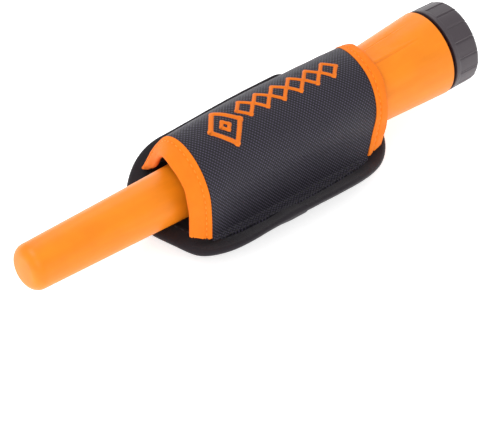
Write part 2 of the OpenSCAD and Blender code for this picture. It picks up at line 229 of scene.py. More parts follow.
def woven(name, color, roughness, across_mm, along_mm, depth_mm, lift=2.6, twill=0.0):
    """Basket weave with a painted highlight on its thread crowns, lift times the colour, and painted shade in
    the gaps between them. With twill, its threads line up on the bias.
    """
    look = Look(name, color, roughness)
    look.set("Sheen Weight", 0.12)
    look.set("Specular IOR Level", 0.35)
    look.set("Sheen Roughness", 0.4)
    across, along = cloth_place(look)
    a = look.math("DIVIDE", across, across_mm * MM)
    b = look.math("DIVIDE", along, along_mm * MM)
    squares = look.math("ADD", look.math("FLOOR", a), look.math("FLOOR", b))
    over = look.math("ABSOLUTE", look.math("MODULO", squares, 2.0))
    crown_a, crown_b = (look.math("ABSOLUTE", look.wave(way, pi)) for way in (a, b))
    crown = look.math("POWER", look.math("MULTIPLY", crown_a, crown_b), 0.6)
    height = look.math("MULTIPLY", crown, look.span(over, 0, 1, 0.3, 1.0))
    if twill:
        bias = look.wave(look.math("ADD", a, b), pi, "COSINE")
        line = look.math("MULTIPLY", look.span(bias, -1, 1, 0, 1), look.span(crown, 0, 1, 0.5, 1.0))
        plain = look.math("MULTIPLY", height, 1 - twill)
        height = look.math("ADD", plain, look.math("MULTIPLY", line, twill))
    # Noise patches where the painted crown highlight and shade fade part way back to the plain colour.
    crown_light_fade = look.noise(14, 3)
    # Painted highlight on the thread crowns and painted shade in the gaps: crowns at lift times the colour,
    # gaps at a fifth of it.
    painted_crown_light = look.mix(look.math("POWER", height, 2.0), *shades(color, 0.2, lift))
    look.color(look.mix(look.span(crown_light_fade, 0.35, 0.7, 0.0, 0.3), painted_crown_light, color))
    look.bump(height, depth_mm)
    look.bump(look.noise(0.3, 2), depth_mm * 0.25)
    return look.material


def plain_cloth(name, color, roughness, thread_mm, depth_mm, sheen=0.1, ribs=0.0):
    """Fine cloth or tape, with threads too small to see one by one and ribs across it if asked."""
    look = Look(name, color, roughness)
    look.set("Sheen Weight", sheen)
    look.set("Specular IOR Level", 0.25)
    look.set("Sheen Roughness", 0.5)
    across, along = cloth_place(look)
    a, b = (look.wave(way, 2 * pi / (thread_mm * MM)) for way in (across, along))
    look.color(look.mix(look.noise(6, 3), *shades(color, 0.86, 1.12)))
    look.bump(look.span(look.math("MULTIPLY", a, b), -1, 1, 0, 1), depth_mm)
    if ribs:
        look.bump(look.math("ABSOLUTE", look.wave(along, pi / (ribs * MM))), depth_mm * 3)
    look.bump(look.noise(1.6, 3), depth_mm * 2)
    return look.material


ORANGE = (0.93, 0.230, 0.006)
TAPE_ORANGE = (0.94, 0.200, 0.004)
BLACK_CLOTH = (0.0125, 0.0102, 0.018)
PANEL_BLACK = (0.013, 0.0098, 0.0142)
CAP_GREY = (0.051, 0.039, 0.047)

shell_look = moulded("shell_orange", ORANGE, 0.38, tint=0.26, Specular_IOR_Level=0.3, streak=0.6)
cap_look = moulded("cap_grey", CAP_GREY, 0.42, grain_depth=0.02, tint=0.15)
# The seal's colour is partly painted light: dark rubber, tinted red as a painted glow of light coming through
# the orange shell.
seal_look = moulded("seal_rubber_red_glow", (0.022, 0.003, 0.003), 0.7, Specular_IOR_Level=0.1)
button_look = moulded("button_rubber", (0.03, 0.03, 0.032), 0.6, grain_depth=0.02)
# The woven looks carry a painted highlight on their thread crowns and painted shade between them; lift sets
# how bright the crowns are.
sleeve_look = woven("sleeve_weave", BLACK_CLOTH, 0.6, 0.92, 0.82, 0.24, lift=7.5, twill=0.4)
lining_look = plain_cloth("panel_lining", PANEL_BLACK, 0.7, 0.6, 0.05)
backing_look = woven("panel_backing", PANEL_BLACK, 0.7, 1.1, 1.1, 0.12)
binding_look = plain_cloth("binding_tape", PANEL_BLACK, 0.7, 0.5, 0.04)
tape_look = plain_cloth("orange_tape", TAPE_ORANGE, 0.75, 0.55, 0.05, sheen=0.03)
webbing_look = woven("webbing", (0.02, 0.019, 0.022), 0.7, 2.2, 1.2, 0.3)
black_thread = moulded("black_thread", (0.03, 0.027, 0.033), 0.5)
orange_thread = plain_cloth("orange_thread", (0.97, 0.32, 0.02), 0.45, 0.5, 0.05, sheen=0.1)
satin_look = plain_cloth("satin_thread", (0.97, 0.20, 0.004), 0.5, 0.8, 0.05, sheen=0.04, ribs=0.36)
foam_look = moulded("foam_grey", (0.06, 0.06, 0.065), 0.9, grain_mm=0.6, grain_depth=0.15)

NODE_LOOKS = {
    "coil_former board_tray switch_plunger bulkhead": moulded("bobbin_plastic", (0.62, 0.60, 0.55), 0.45),
    "ferrite_rod": moulded("ferrite", (0.05, 0.05, 0.055), 0.6),
    "search_coil coil_leads": metal("copper_wire", (0.72, 0.33, 0.16), 0.35),
    "circuit_board": moulded("solder_resist", (0.01, 0.12, 0.035), 0.35),
    "control_chip driver_transistor sounder tact_switch battery_snap":
        moulded("chip_black", (0.012, 0.012, 0.012), 0.5),
    "storage_capacitors": metal("drawn_can", (0.6, 0.62, 0.66), 0.3),
    "board_screws motor_bracket vibration_motor motor_weight battery_terminals":
        metal("plated_steel", (0.62, 0.62, 0.64), 0.3),
    "battery": metal("battery_jacket", (0.10, 0.11, 0.12), 0.4),
    "battery_leads": moulded("lead_red", (0.45, 0.02, 0.015), 0.4),
    "light_pipe status_light": moulded("clear_lens", (0.75, 0.8, 0.75), 0.15, grain_depth=0.002),
}


def paint_nodes():
    """Gives the CAD nodes that show as they are their looks."""
    for names, look in NODE_LOOKS.items():
        for name in names.split():
            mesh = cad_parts[name].data
            mesh.materials.clear()
            mesh.materials.append(look)


# ---- mesh helpers


def grid_faces(rows, cols, close_rows=False, close_cols=False):
    """Quads over a grid of points stored row by row."""
    faces = []
    for i in range(rows if close_rows else rows - 1):
        for j in range(cols if close_cols else cols - 1):
            i2, j2 = (i + 1) % rows, (j + 1) % cols
            faces.append((i * cols + j, i * cols + j2, i2 * cols + j2, i2 * cols + j))
    return faces


def turn_outwards(mesh, merge=False):
    """Makes a mesh's normals agree, and face out where it is closed, after joining doubled points if asked."""
    work = bmesh.new()
    work.from_mesh(mesh)
    if merge:
        bmesh.ops.remove_doubles(work, verts=work.verts, dist=1e-7)
    bmesh.ops.recalc_face_normals(work, faces=work.faces)
    work.to_mesh(mesh)
    work.free()


def put(name, data):
    made = bpy.data.objects.new(name, data)
    bpy.context.scene.collection.objects.link(made)
    return made


def piece(name, points, faces, look, body, cloth=None, sharp=35):
    """A mesh object with its normals facing out, that rides on a body."""
    mesh = bpy.data.meshes.new(name)
    mesh.from_pydata([tuple(p) for p in points], [], faces)
    if cloth is not None:
        store = mesh.attributes.new("cloth", "FLOAT_VECTOR", "POINT")
        flat = np.zeros((len(cloth), 3))
        flat[:, :2] = np.array(cloth) * MM
        store.data.foreach_set("vector", flat.ravel())
    turn_outwards(mesh, merge=True)
    mesh.polygons.foreach_set("use_smooth", [True] * len(mesh.polygons))
    mesh.set_sharp_from_angle(angle=radians(sharp))
    mesh.materials.clear()
    mesh.materials.append(look)
    made = put(name, mesh)
    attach(made, body)
    return made


def applied(obj, sharp):
    """Bakes an object's modifiers into its mesh and marks its sharp edges."""
    bpy.context.view_layer.update()
    graph = bpy.context.evaluated_depsgraph_get()
    mesh = bpy.data.meshes.new_from_object(obj.evaluated_get(graph))
    old = obj.data
    obj.modifiers.clear()
    obj.data = mesh
    bpy.data.meshes.remove(old)
    mesh.set_sharp_from_angle(angle=radians(sharp))


def cut(obj, points, faces, sharp):
    """Cuts the closed solid given by points and faces out of obj."""
    mesh = bpy.data.meshes.new("cutter")
    mesh.from_pydata([tuple(p) for p in points], [], faces)
    turn_outwards(mesh)
    cutter = put("cutter", mesh)
    modifier = obj.modifiers.new("cut", "BOOLEAN")
    modifier.operation = "DIFFERENCE"
    modifier.solver = "EXACT"
    modifier.object = cutter
    applied(obj, sharp)
    bpy.data.objects.remove(cutter)
    bpy.data.meshes.remove(mesh)


def stacked(rings):
    """Points and faces of a closed solid whose sides run through rings of points."""
    n = len(rings[0])
    points = [p for ring in rings for p in ring]
    faces = grid_faces(len(rings), n, close_cols=True)
    return points, faces + [tuple(range(n)), tuple(range(len(points) - n, len(points)))]


def prism(outline, z0, z1):
    """Points and faces of an upright prism over a list of (x, y)."""
    return stacked([[at(x, y, z) for x, y in outline] for z in (z0, z1)])


def circle(cx, cy, r, steps=32):
    turns = np.linspace(0, 2 * pi, steps + 1)[:-1]
    return [(cx + r * cos(a), cy + r * sin(a)) for a in turns]


def turned(x, r, a, axis_z=REAR_R):
    """Point at radius r and angle a about an axis along X."""
    return at(x, r * cos(a), axis_z + r * sin(a))


def stadium(cx, length, width, steps=12):
    """Outline of a slot with round ends, centred at (cx, 0)."""
    r = width / 2
    reach = length / 2 - r
    turn = [pi * i / steps for i in range(steps + 1)]
    right = [(cx + reach + r * sin(a), -r * cos(a)) for a in turn]
    left = [(cx - reach - r * sin(a), r * cos(a)) for a in turn]
    return right + left


def smooth_max(a, b, soft):
    """The larger of a and b, rounded over where they meet."""
    h = max(soft - abs(a - b), 0.0) / soft
    return max(a, b) + h * h * soft / 4


def run_of(line):
    """Distance along a line of points, from 0 at its first."""
    return np.concatenate([[0], np.cumsum(norm(np.diff(line, axis=0), axis=1))])


def along_run(s, run, values):
    """Each column of values at s, where run is the distance at each row."""
    return np.array([np.interp(s, run, values[:, k]) for k in range(values.shape[1])])


def curve_through(points, count):
    """count points, evenly spaced, on a smooth curve through the given ones."""
    p = np.array(points, float)
    p = np.vstack([2 * p[0] - p[1], p, 2 * p[-1] - p[-2]])
    fine = []
    for i in range(1, len(p) - 2):
        for t in np.linspace(0, 1, 24, endpoint=False):
            a, b, c, d = p[i - 1 : i + 3]
            square, cube = 2 * a - 5 * b + 4 * c - d, 3 * b - a - 3 * c + d
            fine.append(0.5 * (2 * b + (c - a) * t + square * t**2 + cube * t**3))
    fine.append(p[-2])
    fine = np.array(fine)
    run = run_of(fine)
    return along_run(np.linspace(0, run[-1], count), run, fine).T


# ---- probe

PAD_FRONT, PAD_FRONT_Z = 155.0, 32.0
PAD_BACK, PAD_BACK_Z = 216.0, 37.7
BUTTON_X, BUTTON_L, BUTTON_W = 168.0, 15.0, 7.0
BUTTON_TOP, BUTTON_EDGE, FLANGE_Z = 34.6, 1.1, 26.0
BAR_R, BAR_HALF, BAR_SINK = 0.5, 1.3, 0.35
LIGHT_X = 150.0
LIGHT_HOLE_R = 1.62
CREASE, CREASE_OUT, CREASE_W = 0.28, 0.3, 0.32
MOUTH_X, MOUTH_R, MOUTH_EDGE = 213.0, 17.6, 0.4
RIM_EDGE, RIM_LIP = 0.12, 0.35
THIN_WALL, THICK_WALL, THIN_FROM = 1.5, 2.1, 180
SHELL_SHARP = 28


def pad_z(x):
    """Level of the raised pad's flat top at x, far below the body outside the pad's length."""
    if x < PAD_FRONT - 4:
        return -50.0
    rise = min(0.0, (x - PAD_FRONT) / 4) * 3
    return PAD_FRONT_Z + (PAD_BACK_Z - PAD_FRONT_Z) * (x - PAD_FRONT) / (PAD_BACK - PAD_FRONT) + rise


def pad_half(x):
    """Half the pad's width at x, which widens a little towards the cap."""
    return 4.2 + 0.03 * max(0.0, x - 185)


def shell_point(x, a):
    """Point of the probe's outside at x and angle a, measured from +Y towards +Z."""
    r = body_r(x)
    if x < TIP_ROUND:
        r = r - TIP_ROUND + sqrt(max(0.0, TIP_ROUND**2 - (TIP_ROUND - x) ** 2))
    y, z = r * cos(a), body_r(x) + r * sin(a)
    edge = 1 / (1 + exp((abs(y) - pad_half(x)) / 0.15))
    flat = pad_z(x)
    if sin(a) > 0 and flat > z:
        z = z + (smooth_max(flat, z, 0.35) - z) * edge
    if sin(a) > 0:
        off = (abs(y) - pad_half(x) - CREASE_OUT) / CREASE_W
        z -= CREASE * exp(-off * off) * ramp(x, 176, 190) * (1 - ramp(x, 205, 218))
    return at(x, y, z)


def shell_angles():
    """Angles round the shell, close together across the raised pad."""
    fine = [58 + 64 * i / 110 for i in range(111)]
    coarse = [122 + 296 * i / 100 for i in range(1, 100)]
    return [radians(a) for a in fine + coarse]


def probe_shell():
    """Housing: its outside, the rim at the cap, and the bore back down to the tip."""
    angles = shell_angles()
    n = len(angles)
    xs = [TIP_ROUND * (1 - cos(pi / 2 * i / 12)) for i in range(1, 13)]
    xs += list(np.arange(TIP_ROUND + 2, JOINT_X - 1, 2.0)) + [JOINT_X - 0.5, JOINT_X - 0.12]
    rings = [[shell_point(x, a) for a in angles] for x in xs]
    rim = [(JOINT_X - 0.03, REAR_R - RIM_EDGE), (JOINT_X, REAR_R - RIM_LIP), (JOINT_X, MOUTH_R + MOUTH_EDGE),
           (JOINT_X - MOUTH_EDGE, MOUTH_R), (MOUTH_X, MOUTH_R)]
    rings += [[turned(x, r, a) for a in angles] for x, r in rim]
    for x in (212.9, 200, 185, 160, 130, 100, 68, 30, 9, 4):
        wall = THIN_WALL if x > THIN_FROM else THICK_WALL
        r = body_r(x) - wall - (4 if x < 5 else 0)
        rings.append([turned(x, r, a, body_r(x)) for a in angles])
    points = [p for ring in rings for p in ring]
    faces = grid_faces(len(rings), n, close_cols=True)
    front, back = len(points), len(points) + 1
    points += [at(0, 0, TIP_R), at(3.2, 0, TIP_R)]
    last = (len(rings) - 1) * n
    faces += [(front, (j + 1) % n, j) for j in range(n)]
    faces += [(back, last + j, last + (j + 1) % n) for j in range(n)]
    made = piece("probe_shell", points, faces, shell_look, "probe", sharp=SHELL_SHARP)
    cut(made, *prism(stadium(BUTTON_X, BUTTON_L + 0.6, BUTTON_W + 0.6), 24, 45), SHELL_SHARP)
    cut(made, *prism(circle(LIGHT_X, 0, LIGHT_HOLE_R), 22, 45), SHELL_SHARP)
    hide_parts("probe_housing")


def grip_bar(points, faces, x):
    """Adds one low half-round bar across the button's top."""
    start = len(points)
    for k in range(9):
        a = pi * k / 8
        for y in (-BAR_HALF, BAR_HALF):
            z = BUTTON_TOP - BAR_SINK + BAR_SINK * sin(a)
            points.append(at(x + BAR_R * cos(a), y, z))
    faces += [(start + 2 * k, start + 2 * k + 1, start + 2 * k + 3, start + 2 * k + 2) for k in range(8)]
    faces += [tuple(start + 2 * k for k in range(9)), tuple(start + 2 * k + 1 for k in range(8, -1, -1))]
    faces.append((start, start + 1, start + 17, start + 16))


def push_button():
    """Rubber button with a rolled edge and a shallow dished top with three grip bars."""
    low, edge = FLANGE_Z, BUTTON_EDGE
    levels = [(low, 1.2, 1.0), (low + 1, 1.2, 1.0), (low + 1.05, 0, 0), (BUTTON_TOP - edge, 0, 0)]
    for a in np.linspace(0.2, pi / 2, 7):
        inset = -edge * (1 - cos(a))
        levels.append((BUTTON_TOP - edge + edge * sin(a), inset, inset))
    levels += [(BUTTON_TOP - 0.12, -1.7, -1.7), (BUTTON_TOP - 0.3, -2.4, -2.4)]
    points, faces = stacked([[at(x, y, z) for x, y in stadium(BUTTON_X, BUTTON_L + 2 * l, BUTTON_W + 2 * w)]
                             for z, l, w in levels])
    for offset in (-3, 0, 3):
        grip_bar(points, faces, BUTTON_X + offset)
    made = piece("rubber_button", points, faces, button_look, "button")
    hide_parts("push_button")


# ---- battery cap

CAP_R = REAR_R - 0.25
CAP_FLATS, ANGLES_PER_FLAT = 16, 24
RIDGE_HALF, RIDGE_H, GROOVE_D = radians(0.9), 0.14, 0.32
COLLAR_END, CAP_EDGE = 2.2, 2.2
SEAL_OVER = 0.4
PLUG_X, PLUG_R, PLUG_BORE = 214.5, 17.52, 16.4
THREAD_LEAD, THREAD_ROOT, THREAD_H = 3.5, 0.5, 0.48
LUG_HALF_H, LUG_HALF_T, LUG_ROUND, LUG_FLAT = 9.4, 2.25, 4.4, 5
LUG_HOLE_IN, LUG_HOLE_R, LUG_SHARP = 3.8, 2, 40


def cap_radius(x, a):
    """Radius of the grip at depth x behind its front edge: flats, with a ridge and a groove between them."""
    sector = 2 * pi / CAP_FLATS
    off = (a + sector / 2) % sector - sector / 2
    taper = 0.25 * x / (CAP_END - CAP_X)
    mid = sector / 2 - abs(off)
    flat = CAP_R - 0.1 - 0.07 * cos(pi * mid / sector)
    ridge = RIDGE_H * exp(-((off / RIDGE_HALF) ** 2))
    groove = GROOVE_D * exp(-(((off - 2.4 * RIDGE_HALF) / RIDGE_HALF) ** 2))
    blend = ramp(x, COLLAR_END, COLLAR_END + 0.5)
    return CAP_R + (flat + ridge - groove - CAP_R) * blend - taper


def cap_rings(angles):
    """Outside of the cap from its front edge to its end face, as rings of (x, radius, angle)."""
    straight = CAP_END - CAP_X - CAP_EDGE
    depths = [SEAL_OVER, SEAL_OVER + 0.3, 0.9, 1.6, 2.2, 2.35, 2.5, 2.7, 2.9, 3.4, 5, 7, 9, straight]
    rings = []
    for d in depths:
        trim = 0.3 if d == SEAL_OVER else 0
        rings.append([(CAP_X + d, cap_radius(d, a) - trim, a) for a in angles])
    for t in np.linspace(0.15, pi / 2, 8):
        x = CAP_X + (straight + CAP_EDGE * sin(t))
        drop = CAP_EDGE * (1 - cos(t))
        rings.append([(x, cap_radius(straight, a) - drop, a) for a in angles])
    rings.append([(CAP_END, 12.5, a) for a in angles])
    rings.append([(CAP_END - 0.5, 12.0, a) for a in angles])
    return rings


def thread_rings(angles):
    """The plug's helical thread, which fades in and out at its ends."""
    rings = []
    for x in np.linspace(PLUG_X + 0.6, JOINT_X - 1.4, 34):
        ring = []
        for a in angles:
            phase = ((x - PLUG_X) / THREAD_LEAD - a / (2 * pi)) % 1.0
            crest = max(0.0, 1 - abs(phase - 0.5) * 5)
            fade = min(1.0, (x - PLUG_X - 0.5) / 1.2, (JOINT_X - 1.3 - x) / 1.2)
            ring.append((x, PLUG_R - THREAD_ROOT + THREAD_H * min(1.0, crest * 1.6) * max(0.0, fade), a))
        rings.append(ring)
    return rings


def battery_cap():
    """Cap and its threaded plug as one closed skin, with the lanyard lug on its end."""
    n = CAP_FLATS * ANGLES_PER_FLAT
    angles = [2 * pi * i / n for i in range(n)]
    floor, root = CAP_END - CAP_FLOOR, PLUG_R - THREAD_ROOT
    plug = [(floor, 0.5), (floor, PLUG_BORE), (PLUG_X, PLUG_BORE), (PLUG_X, PLUG_R - 0.9)]
    plug.append((PLUG_X + 0.4, root))
    neck = [(JOINT_X - 1.1, root), (JOINT_X - 1, PLUG_R - 0.05), (CAP_X + SEAL_OVER, PLUG_R - 0.05)]
    rings = [[(x, r, a) for a in angles] for x, r in plug] + thread_rings(angles)
    rings += [[(x, r, a) for a in angles] for x, r in neck] + cap_rings(angles)
    points, faces = stacked([[turned(*p) for p in ring] for ring in rings])
    made = piece("grip_cap", points, faces, cap_look, "battery_cap", sharp=32)
    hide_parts("battery_cap", "cap_end")
    lanyard_lug()


def lanyard_lug():
    """Rounded lug with a hole through it, standing on the cap's end face."""
    out = LUG_END - CAP_END
    outline = [(-0.7, -LUG_HALF_H - 0.6), (0.2, -LUG_HALF_H), (out - LUG_ROUND, -LUG_HALF_H)]
    outline += [(out - LUG_ROUND + LUG_ROUND * sin(a), -LUG_FLAT - LUG_ROUND * cos(a))
                for a in np.linspace(0.15, pi / 2, 8)]
    outline += [(x, -z) for x, z in reversed(outline)]
    middle = sum(x for x, _ in outline) / len(outline)
    rings = []
    for y, inset in ((-LUG_HALF_T, 0.5), (-LUG_HALF_T + 0.15, 0.15), (-LUG_HALF_T + 0.5, 0.0),
                     (LUG_HALF_T - 0.5, 0.0), (LUG_HALF_T - 0.15, 0.15), (LUG_HALF_T, 0.5)):
        ring = []
        for x, z in outline:
            d = Vector((x - middle, z))
            k = 1 - inset / max(d.length, 1e-6)
            ring.append(at(CAP_END + (x if x < 0 else middle + d.x * k), y, REAR_R + d.y * k))
        rings.append(ring)
    points, faces = stacked(rings)
    made = piece("lanyard_lug", points, faces, cap_look, "battery_cap", sharp=LUG_SHARP)
    hole = circle(out - LUG_HOLE_IN, 0, LUG_HOLE_R)
    tube = [[at(CAP_END + x, y, REAR_R + z) for x, z in hole] for y in (-6, 6)]
    cut(made, *stacked(tube), LUG_SHARP)


def squared(share):
    """Turns a sine or cosine into one that gives a round section squarer sides."""
    return copysign(abs(share) ** 0.7, share)


def o_ring():
    """Rubber ring squeezed between the housing's rim and the cap."""
    low, high = JOINT_X + 0.03, CAP_X + SEAL_OVER - 0.03
    mid_x, half_x = (low + high) / 2, (high - low) / 2
    inner, outer = PLUG_R + 0.06, REAR_R - 1.5
    mid_r, half_r = (inner + outer) / 2, (outer - inner) / 2
    n, m = 96, 20
    points = []
    for i in range(n):
        a = 2 * pi * i / n
        for j in range(m):
            b = 2 * pi * j / m
            r = mid_r + half_r * squared(sin(b))
            points.append(turned(mid_x + half_x * squared(cos(b)), r, a))
    made = piece("sealing_ring", points, grid_faces(n, m, True, True), seal_look, "cap_seal")
    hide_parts("cap_o_ring")


def foam_pad():
    """Open-cell foam disc that steadies the battery: its face is crowned and pitted."""
    low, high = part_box("cap_foam_pad")
    x0, x1 = (low.x - TIP.x) / MM, (high.x - TIP.x) / MM
    r0 = (high.z - low.z) / MM / 2
    crown, edge, n = 0.55, 0.9, 96
    profile = [(x0 + crown * (k / 14) ** 3, (r0 - edge) * k / 14) for k in range(1, 15)]
    profile += [(x0 + crown + edge * (1 - cos(a)), r0 - edge + 0.88 * sin(a))
                for a in np.linspace(0.3, pi / 2, 6)]
    profile += [(x1 - 0.5, r0 - 0.02), (x1, r0 - 0.4)]
    rings = []
    for x, r in profile:
        ring = []
        for k in range(n):
            a = 2 * pi * k / n
            y, z = r * cos(a), r * sin(a)
            pit = 0.16 * max(0.0, lumps(x, y, z, 0.9, 9)) if x < x1 - 0.6 else 0.0
            ring.append(at(x + pit, y, REAR_R + z))
        rings.append(ring)
    points, faces = stacked(rings)
    made = piece("foam_pad", points, faces, foam_look, "battery_cap")
    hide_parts("cap_foam_pad")


# ---- cloth helpers


def clear_of_body(p, gap):
    """Moves (x, y, z) out from the probe's axis until it is gap outside the probe."""
    x, y, z = p
    r = body_r(x)
    away = hypot(y, z - r)
    if z < r * 0.4 or away >= r + gap:
        return p
    k = (r + gap) / away
    return (x, y * k, r + (z - r) * k)


def normals_of(grid, out_from):
    """Unit normals of a grid of points (rows, columns, 3), turned away from the point out_from."""
    along = np.gradient(grid, axis=1)
    across = np.gradient(grid, axis=0)
    n = np.cross(across, along)
    n /= np.maximum(norm(n, axis=2, keepdims=True), 1e-9)
    if np.sum(n * (grid - np.array(out_from))) < 0:
        n = -n
    return n


def lumps(x, y, z, size, seed=0.0):
    """Smooth noise from about -1 to 1 at a place in millimetres."""
    return noise.noise(Vector((x / size + seed, y / size - seed, z / size + 3.1 * seed)))


def sheet_grid(name, grid, thick, look, body, across=None, along=None):
    """A sheet of even thickness about a grid of points (rows, columns, 3) in millimetres."""
    rows, cols = grid.shape[:2]
    sharp = 50
    if across is None:
        steps = norm(np.diff(grid, axis=0), axis=2)
        across = np.vstack([np.zeros(cols), np.cumsum(steps, axis=0)])
        across -= across[rows // 2]
    if along is None:
        steps = norm(np.diff(grid, axis=1), axis=2)
        along = np.hstack([np.zeros((rows, 1)), np.cumsum(steps, axis=1)])
        along += grid[:, :1, 0]
    points = [at(*p) for p in grid.reshape(-1, 3)]
    cloth = np.stack([across.ravel(), along.ravel()], axis=1)
    made = piece(name, points, grid_faces(rows, cols), look, body, cloth, sharp)
    solid = made.modifiers.new("thickness", "SOLIDIFY")
    solid.thickness = thick * MM
    solid.offset = 0
    applied(made, sharp)
    return made


def stitches(name, paths, look, body, length=2.3, gap=0.9, radius=0.27, lift=0.1):
    """Rows of thread: short rounded capsules that follow paths of (point, normal) in millimetres."""
    points, faces = [], []
    sides = 8
    shape = [(0.0, 0.35), (0.12, 0.8), (0.3, 1.0), (0.5, 1.05), (0.7, 1.0), (0.88, 0.8), (1.0, 0.35)]
    for path, normals in paths:
        path, normals = np.array(path), np.array(normals)
        run = run_of(path)
        for i in range(int(run[-1] / (length + gap))):
            s0 = (i + 0.15) * (length + gap) + random.uniform(-0.15, 0.15)
            start = len(points)
            for t, fat in shape:
                s1 = s0 + t * length
                n = along_run(s1, run, normals)
                n /= norm(n)
                side = np.cross(n, along_run(s1 + 0.2, run, path) - along_run(s1 - 0.2, run, path))
                side /= max(norm(side), 1e-9)
                c = along_run(s1, run, path) + n * (lift - radius * 1.2 * (1 - sin(pi * t)))
                for j in range(sides):
                    a = 2 * pi * j / sides
                    points.append(at(*(c + radius * fat * (side * cos(a) + n * sin(a)))))
            faces += [tuple(start + k for k in f) for f in grid_faces(len(shape), sides, close_cols=True)]
            for end in (start, start + (len(shape) - 1) * sides):
                faces.append(tuple(range(end, end + sides)))
    cloth = [(k % 3, k % 5) for k in range(len(points))]
    piece(name, points, faces, look, body, cloth, sharp=60)


# ---- back panel


def panel_outline(steps=24):
    """Points (x, y) round the back panel: round corners in front, an oval end behind."""
    points = []
    for a in np.linspace(-pi / 2, pi / 2, 3 * steps + 1):
        reach = PANEL_OVAL + (FAR_OVAL - PANEL_OVAL) * max(0.0, sin(a)) ** 2
        points.append((PANEL_END - reach + reach * cos(a), PANEL_HALF_W * sin(a)))
    r = PANEL_CORNER
    for side, a0 in ((1, pi / 2), (-1, pi)):
        cx, cy = PANEL_START + r, side * (PANEL_HALF_W - r)
        for a in np.linspace(a0, a0 + pi / 2, steps + 1):
            y = cy + r * sin(a)
            points.append((cx + r * cos(a) + NEAR_SKEW * max(0.0, -y) * (1 - ramp(-y, 8, 28)), y))
    pulled = []
    for x, y in points:
        pull = NEAR_PULL * ramp(x, 70, 130) * (1 - ramp(x, 196, 222)) if y < 0 else 0
        pulled.append((x, y * (1 - pull)))
    return pulled


def even_loop(points, count):
    """count evenly spaced points round a closed (x, y) outline."""
    p = np.array([*points, points[0]])
    run = run_of(p)
    return along_run(np.linspace(0, run[-1], count, endpoint=False), run, p).T, run[-1]


BIND_TOP, BIND_UNDER, EDGE_PINCH = 9.4, 6.0, 0.35
SPINE_IN = 38.0
OUTLINE, OUTLINE_L = even_loop(panel_outline(), 420)
OUTLINE_IN = -np.stack([np.gradient(OUTLINE[:, 1]), -np.gradient(OUTLINE[:, 0])], axis=1)
OUTLINE_IN[0], OUTLINE_IN[-1] = OUTLINE_IN[1], OUTLINE_IN[-2]
OUTLINE_IN /= norm(OUTLINE_IN, axis=1, keepdims=True)


def pinch(inside):
    """How far each face of the panel is drawn in by its binding."""
    return EDGE_PINCH * (1 - ramp(inside, 0, 9))


def panel_z(x, y, inside):
    """Top of the padded panel at (x, y), inside millimetres in from its outline."""
    seam = exp(-(((inside - BIND_TOP) / 1.3) ** 2))
    puff = 0.35 * min(1.0, max(0.0, (inside - BIND_TOP) / 6)) + 0.12 * lumps(x, y, 0, 9, 2)
    return PANEL_TOP + cup(x, y) - pinch(inside) - 0.35 * seam + puff * (1 if abs(y) > 20 or x < 80 else 0.2)


def back_panel():
    """Foam panel with cloth on both faces."""
    spine_from, spine_to = PANEL_START + 34, PANEL_END - 44
    spine = [min(max(x, spine_from), spine_to) for x, _ in OUTLINE]
    rings = []
    for inset in (1.2, 2.4, 4, 6, 7.4, 8.2, 8.8, 9.6, 11, 13, 15.5, 18.5, 22, 26, 30, 34):
        t = inset / SPINE_IN
        rings.append([(x + (cx - x) * t, y * (1 - t), inset) for (x, y), cx in zip(OUTLINE, spine)])
    rings.append([(cx, 0.0, SPINE_IN) for cx in spine])
    n = len(OUTLINE)
    top = [[(x, y, panel_z(x, y, d)) for x, y, d in ring] for ring in rings]
    low = [[(x, y, PANEL_BOTTOM + cup(x, y) + pinch(d)) for x, y, d in ring] for ring in rings]
    stack = list(reversed(top)) + low
    points = [at(*p) for ring in stack for p in ring]
    cloth = [(p[1], p[0]) for ring in stack for p in ring]
    made = piece("padded_panel", points, grid_faces(len(stack), n, close_cols=True), lining_look,
                 "holster", cloth)
    made.data.materials.append(backing_look)
    for face in made.data.polygons:
        if face.normal.z < -0.5:
            face.material_index = 1
    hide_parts("panel_lining", "panel_foam", "panel_backing")


def binding_path(extra=0.0):
    """Mid-surface of the folded edge tape as (inside, z) over the panel's mid level."""
    middle = (PANEL_TOP + PANEL_BOTTOM) / 2
    half = (PANEL_TOP - PANEL_BOTTOM) / 2 + 0.3 + extra
    path = [(BIND_TOP + extra, half - 0.12), (BIND_TOP - 0.8, half), (6, half + 0.08), (4, half)]
    path.append((half + 0.2, half))
    for a in np.linspace(0.25, pi - 0.25, 9):
        path.append((half * (1 - sin(a)) - extra * 0.3, half * cos(a)))
    path += [(half + 0.2, -half), (4, -half), (BIND_UNDER, -half)]
    return [(d, middle + z * (1 - pinch(d) / half)) for d, z in path]


def bound_point(k, d, z):
    """Point of the puckered edge tape at level z, d in from the outline's point k."""
    (x, y), (nx, ny) = OUTLINE[k], OUTLINE_IN[k]
    px, py = x + nx * d, y + ny * d
    pucker = 0.22 * lumps(px, py, 0, 5, 5) * (1 if d > 5 else 0.6)
    return (px, py, z + cup(px, py) + pucker * 0.6)


def edge_binding():
    """Tape folded over the panel's edge, its overlapping end and the stitches along it."""
    path = binding_path()
    n = len(OUTLINE)
    grid = np.array([[bound_point(k % n, d, z) for k in range(n + 1)] for d, z in path])
    made = sheet_grid("edge_tape", grid, 0.55, binding_look, "holster")
    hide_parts("edge_binding")
    tail_from, tail_to = 112.0, 127.5
    near = [k for k in range(n) if OUTLINE[k][1] < 0 and tail_from < OUTLINE[k][0] < tail_to]
    over = [binding_path(0.75 * ramp(OUTLINE[k][0], tail_from, tail_from + 8)) for k in near]
    grid = np.array([[bound_point(k, *leg[i]) for k, leg in zip(near, over)] for i in range(len(path))])
    tail = sheet_grid("edge_tape_end", grid, 0.55, binding_look, "holster")
    row = [bound_point(k % n, BIND_TOP - 1.4, path[1][1]) for k in range(n + 1)]
    row = [(x, y, z + 0.25) for x, y, z in row]
    stitches("binding_stitches", [(row, [(0, 0, 1)] * len(row))], black_thread, "holster")


# ---- sleeve and its tapes

